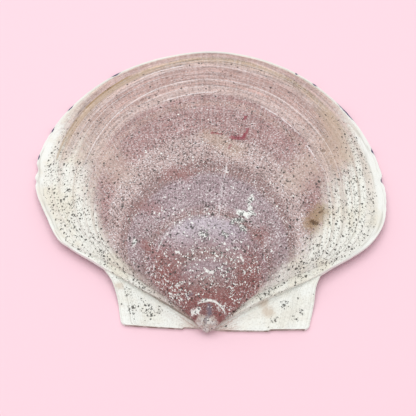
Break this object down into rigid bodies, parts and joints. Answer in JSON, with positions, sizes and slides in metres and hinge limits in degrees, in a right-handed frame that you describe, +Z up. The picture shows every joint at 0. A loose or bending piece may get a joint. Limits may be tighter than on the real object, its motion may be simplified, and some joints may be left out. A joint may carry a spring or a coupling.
{
  "type": "scallop shell",
  "caption": "Single valve of a large scallop: a nearly round, low-domed disc with a pointed beak, a straight hinge line and a flat ear on each side.",
  "frame": {"origin": "middle of the valve's box seen from above, at the height of the ground it lies on", "axes": "+X along the hinge line, to the right when the hinge is nearest; +Y from the hinge towards the front of the rim; +Z up, out of the dome"},
  "size_m": [0.167, 0.1572, 0.0257],
  "materials": {
    "shell": "matte natural shell: mauve-brown in the middle, white and cream towards both sides and on the ears"
  },
  "bodies": {
    "root": {"scallop_valve": "shell"}
  },
  "joints": []
}
